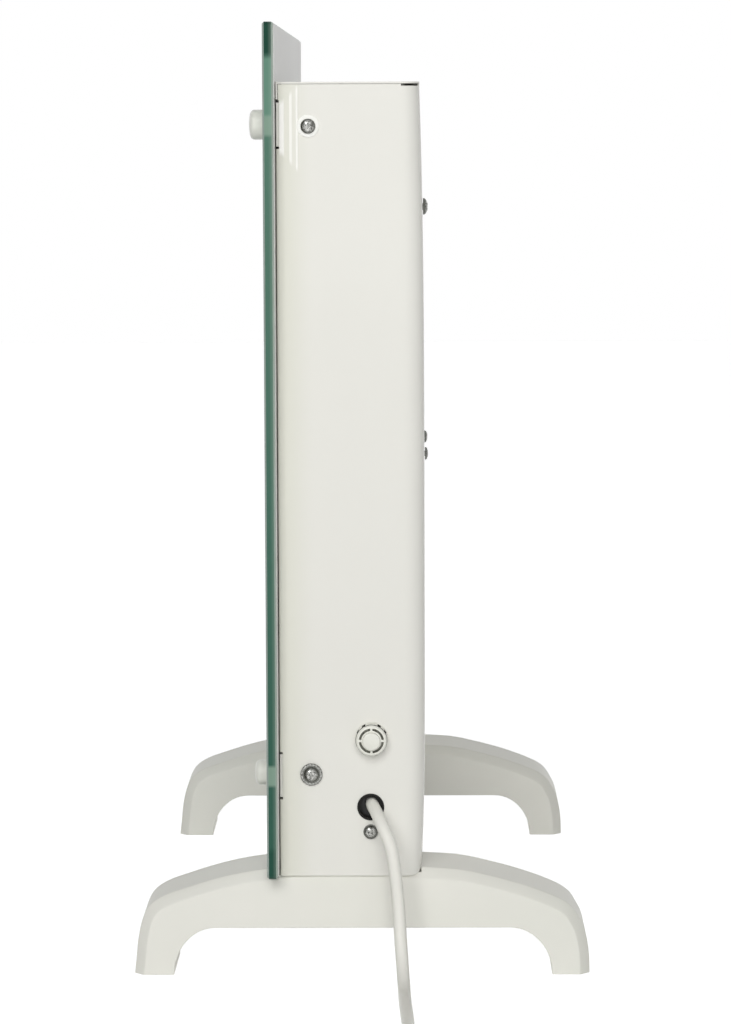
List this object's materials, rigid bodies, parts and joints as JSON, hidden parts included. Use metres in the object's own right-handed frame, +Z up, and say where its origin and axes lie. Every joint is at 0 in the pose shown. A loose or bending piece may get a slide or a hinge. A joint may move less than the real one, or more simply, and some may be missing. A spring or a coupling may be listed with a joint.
{
  "type": "glass convector heater",
  "caption": "Free-standing convector heater: glass front held off a white steel casing with slotted top and base, on moulded arch feet, with its mains lead coiled beside it.",
  "frame": {"origin": "on the floor, midway between the feet and at the middle of their length", "axes": "+Z up, -Y towards the glass front, +X towards the side that the mains lead leaves by"},
  "size_m": [0.8475, 0.2845, 0.529],
  "materials": {
    "glass": "clear tempered glass with ground green edges, painted white behind",
    "casing_paint": "white powder coat, satin",
    "white_plastic": "white moulded, satin",
    "cap_plastic": "white moulded, semi-gloss",
    "clear_rubber": "clear soft washer",
    "screw_steel": "bright zinc plate",
    "bracket_steel": "plain galvanised sheet",
    "element_aluminium": "extruded, mill finish",
    "black_plastic": "black moulded",
    "black_rubber": "black bush",
    "circuit_board": "green solder mask",
    "wire_brown": "brown insulation",
    "cord_white": "white vinyl sheath",
    "plug_brass": "nickelled brass"
  },
  "bodies": {
    "heater": {"bottom_plate": "casing_paint", "casing_wrap": "casing_paint", "control_board": "circuit_board", "cord_clamp": "black_plastic", "cord_clamp_screw": "screw_steel", "cord_coil": "cord_white", "cord_grommet": "black_rubber", "cord_lead": "cord_white", "cord_tail": "cord_white", "cord_tie": "black_plastic", "element_bracket_left": "bracket_steel", "element_bracket_right": "bracket_steel", "element_wire": "wire_brown", "foot_left": "white_plastic", "foot_right": "white_plastic", "foot_screw_front_left": "screw_steel", "foot_screw_front_right": "screw_steel", "foot_screw_rear_left": "screw_steel", "foot_screw_rear_right": "screw_steel", "front_plate": "casing_paint", "glass_bracket_lower_left": "casing_paint", "glass_bracket_lower_right": "casing_paint", "glass_bracket_upper_left": "casing_paint", "glass_bracket_upper_right": "casing_paint", "glass_cap_lower_left": "cap_plastic", "glass_cap_lower_right": "cap_plastic", "glass_cap_upper_left": "cap_plastic", "glass_cap_upper_right": "cap_plastic", "glass_panel": "glass", "glass_spacer_lower_left": "clear_rubber", "glass_spacer_lower_right": "clear_rubber", "glass_spacer_upper_left": "clear_rubber", "glass_spacer_upper_right": "clear_rubber", "heat_shield": "bracket_steel", "heating_element": "element_aluminium", "plug_body": "cord_white", "plug_pin_left": "plug_brass", "plug_pin_right": "plug_brass", "rear_screw_middle_inner": "screw_steel", "rear_screw_middle_right": "screw_steel", "rear_screw_upper_right": "screw_steel", "sensor_cap": "cap_plastic", "sensor_probe": "black_plastic", "side_screw_lower_left": "screw_steel", "side_screw_lower_right": "screw_steel", "side_screw_upper_left": "screw_steel", "side_screw_upper_right": "screw_steel", "side_washer_left": "cap_plastic", "side_washer_right": "cap_plastic", "supply_wire": "wire_brown", "switch_housing": "black_plastic", "terminal_block": "black_plastic", "thermal_cutout": "black_plastic", "tilt_switch": "black_plastic", "top_grille": "casing_paint", "touch_board": "circuit_board"},
    "rocker": {"switch_rocker": "black_plastic"}
  },
  "joints": [
    {"name": "rocker_tilt", "type": "hinge", "parent": "heater", "child": "rocker", "pos_m": [-0.244, 0.0053, 0.12], "axis": [0, 1, 0], "range_deg": [0, 22]}
  ]
}
